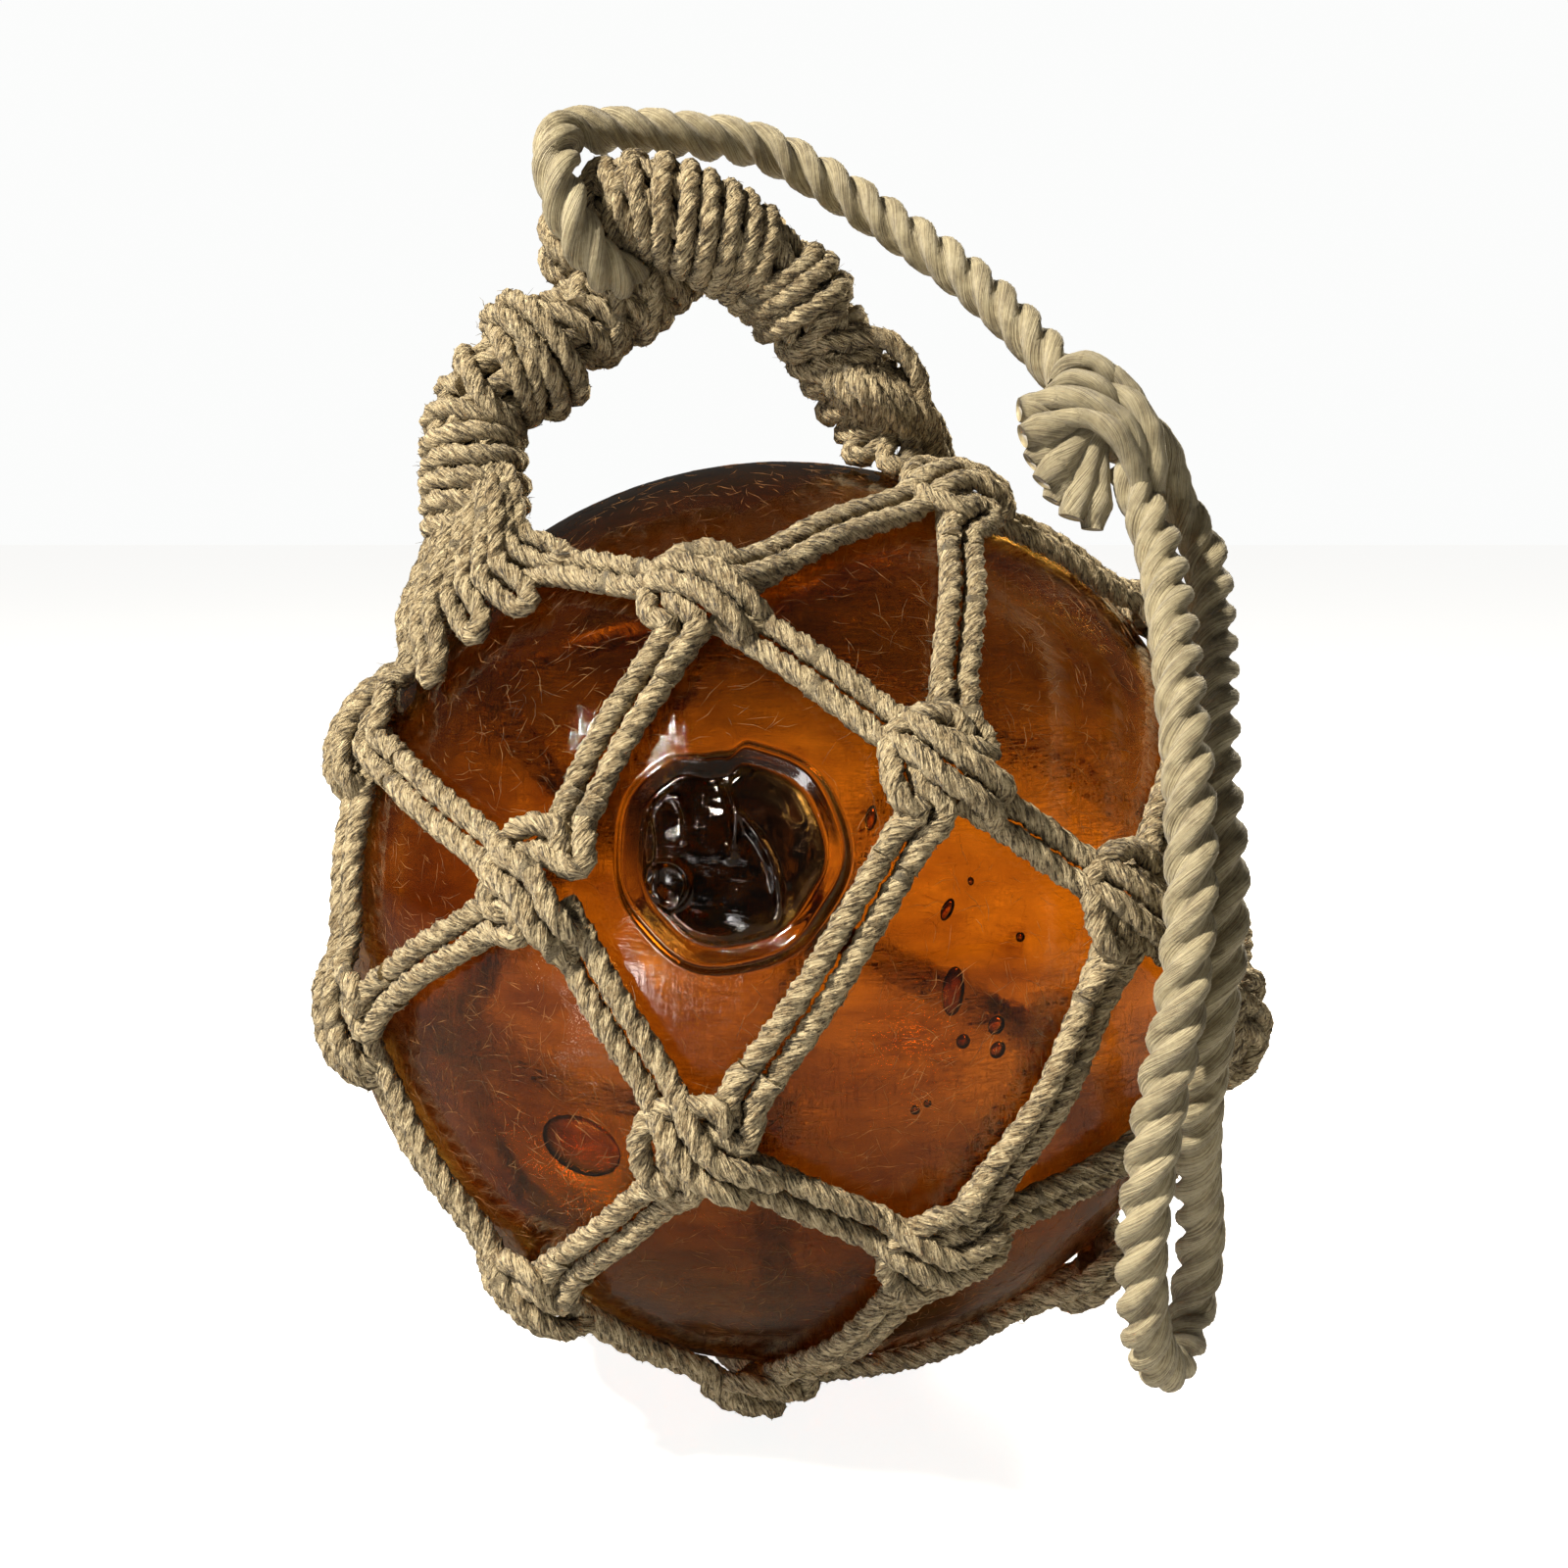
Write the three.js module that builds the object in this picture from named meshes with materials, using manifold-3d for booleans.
// An amber glass fishing float in a hand-tied net of doubled cord, with a carrying handle
// bound out of the net's own cords and a rope lanyard made fast to the handle.
// Millimetres, +Z up. The origin is the middle of the flat spot under the net's lowest knot.

import * as THREE from 'three';
import { mergeVertices } from 'three/addons/utils/BufferGeometryUtils.js';
import Module from 'manifold-3d';

const wasm = await Module();
wasm.setup();

// ---- Driving dimensions -------------------------------------------------------------------

const BALL_RADIUS = 63.5;         // a five inch float
const GLASS_GAP = 0.35;           // between touching pieces
const STRAND = 3.2;               // diameter of one strand of the net cord
const SEAT_HEIGHT = 5;            // from the flat spot up to the glass
const SEAT_REACH = 11;            // from the middle of the lowest knot to its rim
const BALL_CENTRE = new THREE.Vector3(0, 0, SEAT_HEIGHT + BALL_RADIUS);

const SEAL_RADIUS = 13.4;         // the button of glass that closes the blowing hole
const SEAL_STEP = 1.6;            // how far its rim stands proud of the ball
const SEAL_DOME = 2;              // and its middle over the rim
const BALL_SIDES = 32;
const BALL_ROWS = 15;

const NET_LEAN = 15.5;            // degrees that the net's pole leans to the left
const NET_TIP = 5;                // and away from the front
const KNOT_REACH = 8;             // half the length of a knot's upper bight
const HEART_REACH = 7;            // half the length of a knot's packed turns
const HEART_HEIGHT = 1.4;         // strands
const BIGHT_EDGE = 1.5;           // strands from the glass to the ends of a bight
const BIGHT_CREST = 1.7;          // and to its middle
const LEG_STEP = 19;              // degrees of ball that one straight stretch of a leg spans
const LEG_TUCK = 5.2;             // from a knot's middle to where a leg goes into it
const FOOT_TUCK = 6;              // and from the middle of the handle's foot

const HANDLE_SIDES = 8;
const WRAP_DEPTH = 0.9;           // of the grooves between the turns of a binding
const BINDING = 3;                // diameter of a strand wound round the handle
const FRAME_STEPS = 200;          // places where the handle's direction is worked out
const WRAP_SLANT = 0.35;          // of a binding's turns, as a share of the leg's radius
const LOOP_GIRTH = 1.24;          // strands, of a loop that the handle's foot spreads on the glass
const LOOP_HEIGHT = 0.85;         // strands from the glass to its middle
const MOUND_REACH = 0.45;         // of a loop's reach, where the loops meet in the foot
const MOUND_HEIGHT = 1.9;         // strands

// The handle's legs from the foot up, with their radii and the turns of cord round each.
const LEFT_LEG = {
  route: [[-40.5, -20, 120], [-40.6, -18.5, 129], [-41, -16, 137], [-36.6, -13, 143], [-27.7, -9, 149.6],
    [-20, -5, 154.6], [-13, -1, 159.5]],
  girth: [7.4, 7.6, 6.8, 7, 6.6, 6.4, 5],
  wraps: 8,
  slant: WRAP_SLANT,
};
const RIGHT_LEG = {
  route: [[14.6, -3, 136], [10.1, -5, 141.8], [6, -7, 147.8], [1.3, -9, 154], [-4.6, -11, 158.7],
    [-11.6, -13, 162.6], [-18.1, -13, 165.4], [-24.3, -10.5, 165], [-28, -6.5, 160.5], [-27.4, -3.5, 155.5]],
  girth: [7.2, 6.6, 6.4, 6.8, 7.4, 7.8, 7.4, 6.6, 6.2, 5],
  wraps: 11,
  slant: -WRAP_SLANT,
};
const HITCHES = [
  { middle: [-33.5, -11.5, 145.8], axis: [0.72, 0.28, 0.63], radius: 7.4 },
  { middle: [1.6, -9, 153.6], axis: [-0.6, -0.1, 0.8], radius: 6.4 },
];
const HITCH_BREADTH = 1.7;        // two strands side by side
// The loops of each foot, spread between two headings from the front of the net.
const FEET = [
  { knot: 'footLeft', headings: [-82, 68], count: 6, reach: 17 },
  { knot: 'footRight', headings: [-75, 45], count: 4, reach: 14 },
];

const ROPE = 6.4;                 // diameter of the lanyard's rope
const ROPE_SIDES = 8;
const ROPE_STEP = 10;             // length of one straight stretch of the rope
const KNOT_CORE = 7.4;            // radius of the middle of the lanyard's knot
const END_RADIUS = 1.7;           // of the cut strand ends that stand out of it
const END_REACH = 5.2;            // half the length of one
const END_SINK = 0.6;             // how far its middle lies inside the core
const END_HEADINGS = [-32, -14, 4, 22, 40, 58];

// The rope's turn round the top of the handle, from under it, across its front and over it.
const TURN = { middle: [-24, -10.6, 165], axis: [0.86, -0.38, 0.34], radius: 10.6, angles: [215, 10] };
const TURN_STEPS = 6;
const LEAD_ROUTE = [
  [-12, -4, 175.5], [-3, -1, 174.5], [6, -1, 169.8], [15, -3, 163.8], [24, -7, 157], [31.5, -12, 149.5],
  [37, -17, 142.5],
];
const LANYARD_KNOT_AT = [41, -20.5, 137];
const LOOP_ROUTE = [
  [44, -22.5, 131], [47.3, -28.5, 121.5], [47.6, -39, 111.5], [47.2, -48, 102.5], [47.2, -53.2, 94],
  [47.1, -56.4, 85], [46.6, -58.6, 77], [45.5, -60, 68.5], [43.9, -60.3, 59.5], [42.6, -59.8, 49.5],
  [42.2, -58.2, 38.5], [43.8, -54.6, 27], [48, -46.5, 19.3], [52.4, -37.6, 21.5], [54, -36, 31],
  [52, -41.5, 43], [50.2, -50, 55], [50.6, -53.4, 65.5], [51.7, -52.8, 75], [52.2, -50, 84],
  [52.3, -44.5, 92.5], [53.4, -37, 101.3], [55.2, -26.5, 110], [55.2, -19, 120], [50.5, -18, 129.5],
];

// ---- The net: knots by azimuth from the front and angle down from the net's pole -----------

const KNOTS = {
  footLeft: [-47, 32],
  footRight: [78, 29],
  a1: [4, 49],
  a2: [56, 43],
  a3: [125, 46],
  a4: [180, 48],
  a5: [-120, 46],
  b1: [-21, 76],
  b2: [23, 76],
  b3: [81, 69],
  b4: [150, 74],
  b5: [-150, 74],
  b6: [-57, 54],
  c1: [-56, 86],
  c2: [-12, 106],
  c3: [40, 95],
  c4: [110, 98],
  c5: [180, 100],
  c6: [-110, 98],
  d1: [-48, 122],
  d2: [11, 126],
  d3: [67, 116],
  d4: [140, 126],
  d5: [-160, 128],
  d6: [-100, 126],
  e1: [-39, 153],
  e2: [60, 150],
};
const SEAL_AT = [-1, 77];

const LEGS = [
  ['footLeft', 'b6'], ['footLeft', 'a1'], ['footLeft', 'a5'],
  ['footRight', 'a2'], ['footRight', 'a3'],
  ['a1', 'a2'], ['a3', 'a4'], ['a4', 'a5'],
  ['a1', 'b1'], ['a1', 'b2'], ['a2', 'b2'], ['a2', 'b3'], ['a3', 'b3'], ['a3', 'b4'],
  ['a4', 'b4'], ['a4', 'b5'], ['a5', 'b5'], ['a5', 'b6'], ['b6', 'b1'], ['b6', 'c1'],
  ['b1', 'c1'], ['b1', 'c2'], ['b2', 'c2'], ['b2', 'c3'], ['b3', 'c3'], ['b3', 'c4'],
  ['b4', 'c4'], ['b4', 'c5'], ['b5', 'c5'], ['b5', 'c6'], ['c1', 'c6'],
  ['c1', 'd1'], ['c2', 'd1'], ['c2', 'd2'], ['c3', 'd2'], ['c3', 'd3'], ['c4', 'd3'],
  ['c4', 'd4'], ['c5', 'd4'], ['c5', 'd5'], ['c6', 'd5'], ['c6', 'd6'], ['d1', 'd6'],
  ['d2', 'd3'], ['d5', 'd6'], ['d1', 'e1'], ['d2', 'e1'], ['d3', 'e2'], ['d4', 'e2'],
  ['e1', 'e2'], ['e1', 'seat'], ['e2', 'seat'], ['d4', 'seat'], ['d5', 'seat'], ['d6', 'seat'],
];

// Each knot's upper bight comes in along one leg and turns over towards another.
const BIGHTS = {
  a1: ['footLeft', 'b2'], a2: ['a1', 'b3'], a3: ['footRight', 'b4'], a4: ['a3', 'b5'],
  a5: ['a4', 'b6'], b1: ['b6', 'c2'], b2: ['a1', 'c3'], b3: ['a2', 'c4'],
  b4: ['a3', 'c5'], b5: ['a4', 'c6'], b6: ['footLeft', 'c1'], c1: ['b6', 'd1'],
  c2: ['b1', 'd2'], c3: ['b2', 'd3'], c4: ['b3', 'd4'], c5: ['b4', 'd5'],
  c6: ['b5', 'd6'], d1: ['c1', 'e1'], d2: ['c2', 'd3'], d3: ['c3', 'e2'],
  d4: ['c4', 'seat'], d5: ['c5', 'seat'], d6: ['c6', 'seat'], e1: ['d1', 'seat'],
  e2: ['d3', 'seat'],
};

// Round the back the knots are plain lumps.
const PLAIN_KNOTS = new Set(['a3', 'a4', 'a5', 'b4', 'b5', 'c4', 'c5', 'c6', 'd4', 'd5', 'd6', 'e2']);

// ---- Small helpers -------------------------------------------------------------------------

const radians = THREE.MathUtils.degToRad;
const vector = (x, y, z) => new THREE.Vector3(x, y, z);
const UP = vector(0, 0, 1);

function toVectors(places) {
  return places.map((place) => vector(...place));
}

function toSolid(geometry) {
  const bare = geometry.clone();
  for (const name of Object.keys(bare.attributes)) {
    if (name !== 'position') bare.deleteAttribute(name);
  }
  const merged = mergeVertices(bare, 1e-4);
  const vertProperties = new Float32Array(merged.attributes.position.array);
  const triVerts = new Uint32Array(merged.index.array);
  return new wasm.Manifold(new wasm.Mesh({ numProp: 3, vertProperties, triVerts }));
}

function toGeometry(solid) {
  const mesh = solid.getMesh();
  const geometry = new THREE.BufferGeometry();
  geometry.setAttribute('position', new THREE.BufferAttribute(new Float32Array(mesh.vertProperties), 3));
  geometry.setIndex(new THREE.BufferAttribute(new Uint32Array(mesh.triVerts), 1));
  geometry.computeVertexNormals();
  return geometry;
}

function fuse(solids) {
  return solids.reduce((whole, solid) => whole.add(solid));
}

function namedMesh(name, solid, colour, roughness) {
  const material = new THREE.MeshStandardMaterial({ color: colour, roughness, metalness: 0 });
  const mesh = new THREE.Mesh(toGeometry(solid), material);
  mesh.name = name;
  return mesh;
}

// The net's own axes: its pole, its front and its right.
function netAxes() {
  const lean = radians(NET_LEAN);
  const tip = radians(NET_TIP);
  const pole = vector(-Math.sin(lean), Math.sin(tip) * Math.cos(lean), Math.cos(tip) * Math.cos(lean));
  const front = vector(0, -1, 0).projectOnPlane(pole).normalize();
  const right = pole.clone().cross(front).normalize();
  return { pole, front, right };
}

const NET = netAxes();

function netDirection([azimuth, polar]) {
  const round = radians(azimuth);
  const down = radians(polar);
  return NET.pole.clone().multiplyScalar(Math.cos(down))
    .addScaledVector(NET.front, Math.sin(down) * Math.cos(round))
    .addScaledVector(NET.right, Math.sin(down) * Math.sin(round));
}

function knotDirection(name) {
  return name === 'seat' ? vector(0, 0, -1) : netDirection(KNOTS[name]);
}

// The point on the great circle from one direction to another, so many degrees along.
function towards(from, to, degrees) {
  const turn = new THREE.Vector3().crossVectors(from, to).normalize();
  return from.clone().applyAxisAngle(turn, radians(degrees));
}

// ---- Cords that lie on the ball ------------------------------------------------------------

// A route whose section stands square to the glass all the way.
class BallRoute extends THREE.CatmullRomCurve3 {
  computeFrenetFrames(segments) {
    const tangents = [];
    const normals = [];
    const binormals = [];
    for (let i = 0; i <= segments; i += 1) {
      const tangent = this.getTangentAt(i / segments);
      const outward = this.getPointAt(i / segments).sub(BALL_CENTRE).projectOnPlane(tangent).normalize();
      tangents.push(tangent);
      binormals.push(outward);
      normals.push(new THREE.Vector3().crossVectors(outward, tangent));
    }
    return { tangents, normals, binormals };
  }
}

function onBall(direction, height) {
  return direction.clone().multiplyScalar(BALL_RADIUS + height).add(BALL_CENTRE);
}

// Two strands side by side, seen from their end: flat on the glass, with a crease between them on top.
function pairSection() {
  const half = STRAND / 2;
  const outline = [[-STRAND, -half * 0.8], [STRAND, -half * 0.8], [STRAND * 0.6, half], [0, half * 0.3],
    [-STRAND * 0.6, half]];
  return new THREE.Shape(outline.map(([x, y]) => new THREE.Vector2(x, y)));
}

function sweep(section, route, steps) {
  return toSolid(new THREE.ExtrudeGeometry(section, { steps, extrudePath: route, bevelEnabled: false }));
}

function tuck(name) {
  return THREE.MathUtils.radToDeg((name.startsWith('foot') ? FOOT_TUCK : LEG_TUCK) / BALL_RADIUS);
}

function netLeg([start, end]) {
  const from = towards(knotDirection(start), knotDirection(end), tuck(start));
  const to = towards(knotDirection(end), knotDirection(start), tuck(end));
  const span = THREE.MathUtils.radToDeg(from.angleTo(to));
  const steps = Math.max(2, Math.round(span / LEG_STEP));
  const sag = BALL_RADIUS * (1 / Math.cos(radians(span / steps / 2)) - 1);
  const height = GLASS_GAP + sag + STRAND / 2;
  const points = [];
  for (let i = 0; i <= steps; i += 1) {
    points.push(onBall(towards(from, to, (span * i) / steps), height));
  }
  return sweep(pairSection(), new BallRoute(points), steps);
}

function netKnot([name, [leading, following]]) {
  const middle = knotDirection(name);
  const reach = THREE.MathUtils.radToDeg(KNOT_REACH / BALL_RADIUS);
  const first = towards(middle, knotDirection(leading), reach);
  const last = towards(middle, knotDirection(following), reach);
  const heart = knotHeart(middle, last.clone().sub(first));
  if (PLAIN_KNOTS.has(name)) return heart;
  const low = GLASS_GAP + STRAND * BIGHT_EDGE;
  const high = GLASS_GAP + STRAND * BIGHT_CREST;
  const bight = new BallRoute([onBall(first, low), onBall(middle, high), onBall(last, low)]);
  return heart.add(sweep(pairSection(), bight, 3));
}

// The packed turns of a knot, which stand out on either side of its bight.
function knotHeart(direction, bight) {
  const height = STRAND * HEART_HEIGHT;
  const heart = new THREE.CylinderGeometry(HEART_REACH * 0.78, HEART_REACH, height, 6);
  const lengthwise = bight.clone().projectOnPlane(direction).normalize();
  const across = new THREE.Vector3().crossVectors(direction, lengthwise);
  heart.applyMatrix4(new THREE.Matrix4().makeBasis(across, direction, lengthwise));
  const place = onBall(direction, GLASS_GAP + height / 2);
  heart.translate(place.x, place.y, place.z);
  return toSolid(heart);
}

// The gather under the ball, where the lowest legs are drawn together.
function seatKnot() {
  const disc = new THREE.CylinderGeometry(SEAT_REACH * 0.9, SEAT_REACH, STRAND * 1.6, 12);
  disc.rotateX(Math.PI / 2);
  disc.translate(0, 0, SEAT_HEIGHT - GLASS_GAP - STRAND * 0.8);
  return toSolid(disc);
}

function net(clearOfHandle) {
  const cords = [...LEGS.map(netLeg), ...Object.entries(BIGHTS).map(netKnot), seatKnot()];
  const ground = new THREE.BoxGeometry(4 * SEAT_REACH, 4 * SEAT_REACH, 2 * SEAT_HEIGHT);
  ground.translate(0, 0, -SEAT_HEIGHT);
  return fuse(cords).subtract(toSolid(ground)).subtract(clearOfHandle);
}

// ---- The glass -----------------------------------------------------------------------------

function glassFloat() {
  const rim = Math.asin((SEAL_RADIUS + SEAL_STEP / 2) / BALL_RADIUS);
  const shoulder = BALL_RADIUS * Math.cos(rim) + SEAL_STEP;
  const profile = [
    new THREE.Vector2(0, shoulder + SEAL_DOME * 0.7),
    new THREE.Vector2(SEAL_RADIUS * 0.55, shoulder + SEAL_DOME),
    new THREE.Vector2(SEAL_RADIUS * 0.86, shoulder + SEAL_DOME * 0.6),
    new THREE.Vector2(SEAL_RADIUS, shoulder - SEAL_STEP / 2),
  ];
  for (let row = 0; row < BALL_ROWS; row += 1) {
    const down = rim + ((Math.PI - rim) * row) / BALL_ROWS;
    profile.push(new THREE.Vector2(BALL_RADIUS * Math.sin(down), BALL_RADIUS * Math.cos(down)));
  }
  profile.push(new THREE.Vector2(0, -BALL_RADIUS));
  const ball = new THREE.LatheGeometry(profile.reverse(), BALL_SIDES);
  const seal = netDirection(SEAL_AT);
  ball.applyQuaternion(new THREE.Quaternion().setFromUnitVectors(vector(0, 1, 0), seal));
  ball.translate(...BALL_CENTRE);
  return toSolid(ball);
}

// ---- The handle ----------------------------------------------------------------------------

// A number read along a list, from its first entry at 0 to its last at 1.
function along(values, share) {
  const place = THREE.MathUtils.clamp(share, 0, 1) * (values.length - 1);
  const before = Math.min(Math.floor(place), values.length - 2);
  return THREE.MathUtils.lerp(values[before], values[before + 1], place - before);
}

// A core bound round with cord: a ridged rod, bent along its route.
function boundCore({ route: places, girth, wraps, slant }, swell) {
  const route = new THREE.CatmullRomCurve3(toVectors(places));
  const length = route.getLength();
  const profile = [new THREE.Vector2(0, 0)];
  for (let i = 0; i <= 2 * wraps; i += 1) {
    const share = i / (2 * wraps);
    const groove = i % 2 === 0 ? WRAP_DEPTH : 0;
    profile.push(new THREE.Vector2(along(girth, share) - groove + swell, share * length));
  }
  profile.push(new THREE.Vector2(0, length));
  const rod = new THREE.LatheGeometry(profile, HANDLE_SIDES);
  const frames = route.computeFrenetFrames(FRAME_STEPS, false);
  const place = rod.attributes.position;
  for (let i = 0; i < place.count; i += 1) {
    const share = THREE.MathUtils.clamp((place.getY(i) + slant * place.getX(i)) / length, 0, 1);
    const step = Math.round(share * FRAME_STEPS);
    const point = route.getPointAt(share)
      .addScaledVector(frames.normals[step], place.getX(i))
      .addScaledVector(frames.binormals[step], -place.getZ(i));
    place.setXYZ(i, point.x, point.y, point.z);
  }
  return toSolid(rod);
}

// A doubled cord turned once round the handle, standing out from the binding.
function doubleTurn({ middle, axis, radius }, swell) {
  const ring = new THREE.TorusGeometry(radius, BINDING / 2 + swell, 4, 9);
  ring.scale(1, 1, HITCH_BREADTH);
  ring.applyQuaternion(new THREE.Quaternion().setFromUnitVectors(UP, vector(...axis).normalize()));
  ring.translate(...middle);
  return toSolid(ring);
}

// The strand loops that the handle's foot spreads over the glass.
function footLoops({ knot, headings, count, reach }, swell) {
  const middle = knotDirection(knot);
  const girth = (STRAND * LOOP_GIRTH) / 2 + swell;
  const front = NET.front.clone().projectOnPlane(middle).normalize();
  const mound = new THREE.SphereGeometry(1, 8, 4);
  const rise = (STRAND * MOUND_HEIGHT) / 2;
  mound.scale(reach * MOUND_REACH + swell, rise + swell, reach * MOUND_REACH + swell);
  mound.applyQuaternion(new THREE.Quaternion().setFromUnitVectors(vector(0, 1, 0), middle));
  mound.translate(...onBall(middle, GLASS_GAP + rise + STRAND * 0.2));
  const loops = [toSolid(mound)];
  for (let i = 0; i < count; i += 1) {
    const heading = THREE.MathUtils.lerp(headings[0], headings[1], i / (count - 1));
    const away = front.clone().applyAxisAngle(middle, radians(heading));
    const loop = new THREE.SphereGeometry(1, 6, 3);
    loop.scale(girth, girth, reach / 2 + swell);
    loop.applyQuaternion(new THREE.Quaternion().setFromUnitVectors(UP, away));
    const place = middle.clone().multiplyScalar(BALL_RADIUS).addScaledVector(away, reach / 2)
      .setLength(BALL_RADIUS + GLASS_GAP + STRAND * LOOP_HEIGHT)
      .add(BALL_CENTRE);
    loop.translate(place.x, place.y, place.z);
    loops.push(toSolid(loop));
  }
  return fuse(loops);
}

function carryingHandle(swell) {
  return fuse([
    boundCore(LEFT_LEG, swell),
    boundCore(RIGHT_LEG, swell),
    ...HITCHES.map((hitch) => doubleTurn(hitch, swell)),
    ...FEET.map((foot) => footLoops(foot, swell)),
  ]);
}

// ---- The lanyard ---------------------------------------------------------------------------

function turnAndLead() {
  const middle = vector(...TURN.middle);
  const axis = vector(...TURN.axis).normalize();
  const up = UP.clone().projectOnPlane(axis).normalize();
  const near = new THREE.Vector3().crossVectors(axis, up).normalize();
  const places = [];
  for (let i = 0; i <= TURN_STEPS; i += 1) {
    const angle = radians(THREE.MathUtils.lerp(TURN.angles[0], TURN.angles[1], i / TURN_STEPS));
    const place = middle.clone()
      .addScaledVector(up, TURN.radius * Math.cos(angle))
      .addScaledVector(near, TURN.radius * Math.sin(angle));
    places.push(place.toArray());
  }
  return [...places, ...LEAD_ROUTE];
}

function rope(places) {
  const outline = [];
  for (let i = 0; i < ROPE_SIDES; i += 1) {
    const angle = (2 * Math.PI * i) / ROPE_SIDES;
    outline.push(new THREE.Vector2((ROPE / 2) * Math.cos(angle), (ROPE / 2) * Math.sin(angle)));
  }
  const route = new THREE.CatmullRomCurve3(toVectors(places));
  return sweep(new THREE.Shape(outline), route, Math.round(route.getLength() / ROPE_STEP));
}

function knotCore(radius) {
  const core = new THREE.SphereGeometry(radius, 12, 8);
  core.translate(...LANYARD_KNOT_AT);
  return toSolid(core);
}

// One of the rope's strand ends, cut off outside the knot.
function strandEnd(heading) {
  const angle = radians(180 + heading);
  const back = heading > 30 ? 0.25 : -0.1;
  const away = vector(Math.cos(angle), back, Math.sin(angle)).normalize();
  const end = new THREE.SphereGeometry(1, 6, 3);
  end.scale(END_RADIUS, END_RADIUS, END_REACH);
  end.applyQuaternion(new THREE.Quaternion().setFromUnitVectors(UP, away));
  const place = vector(...LANYARD_KNOT_AT).addScaledVector(away, KNOT_CORE - END_SINK);
  end.translate(place.x, place.y, place.z);
  return toSolid(end);
}

// A stopper knot: its packed turns, and the strand ends fanned out to the left and down.
function lanyardKnot() {
  return fuse([knotCore(KNOT_CORE), ...END_HEADINGS.map(strandEnd)]);
}

// ---- The whole float -----------------------------------------------------------------------

const handleClearance = carryingHandle(GLASS_GAP);
const knotClearance = knotCore(KNOT_CORE + 2 * GLASS_GAP);
const lead = rope(turnAndLead()).subtract(knotClearance).subtract(handleClearance);
const loop = rope(LOOP_ROUTE).subtract(knotClearance);

const float = new THREE.Group();
float.add(
  namedMesh('glass_float', glassFloat(), 0x8a3f0c, 0.08),
  namedMesh('net', net(handleClearance), 0xb5a184, 0.95),
  namedMesh('carrying_handle', carryingHandle(0), 0xb5a184, 0.95),
  namedMesh('lanyard_lead', lead, 0xc4b491, 0.7),
  namedMesh('lanyard_loop', loop, 0xc4b491, 0.7),
  namedMesh('lanyard_knot', lanyardKnot(), 0xc4b491, 0.7),
);

export default float;
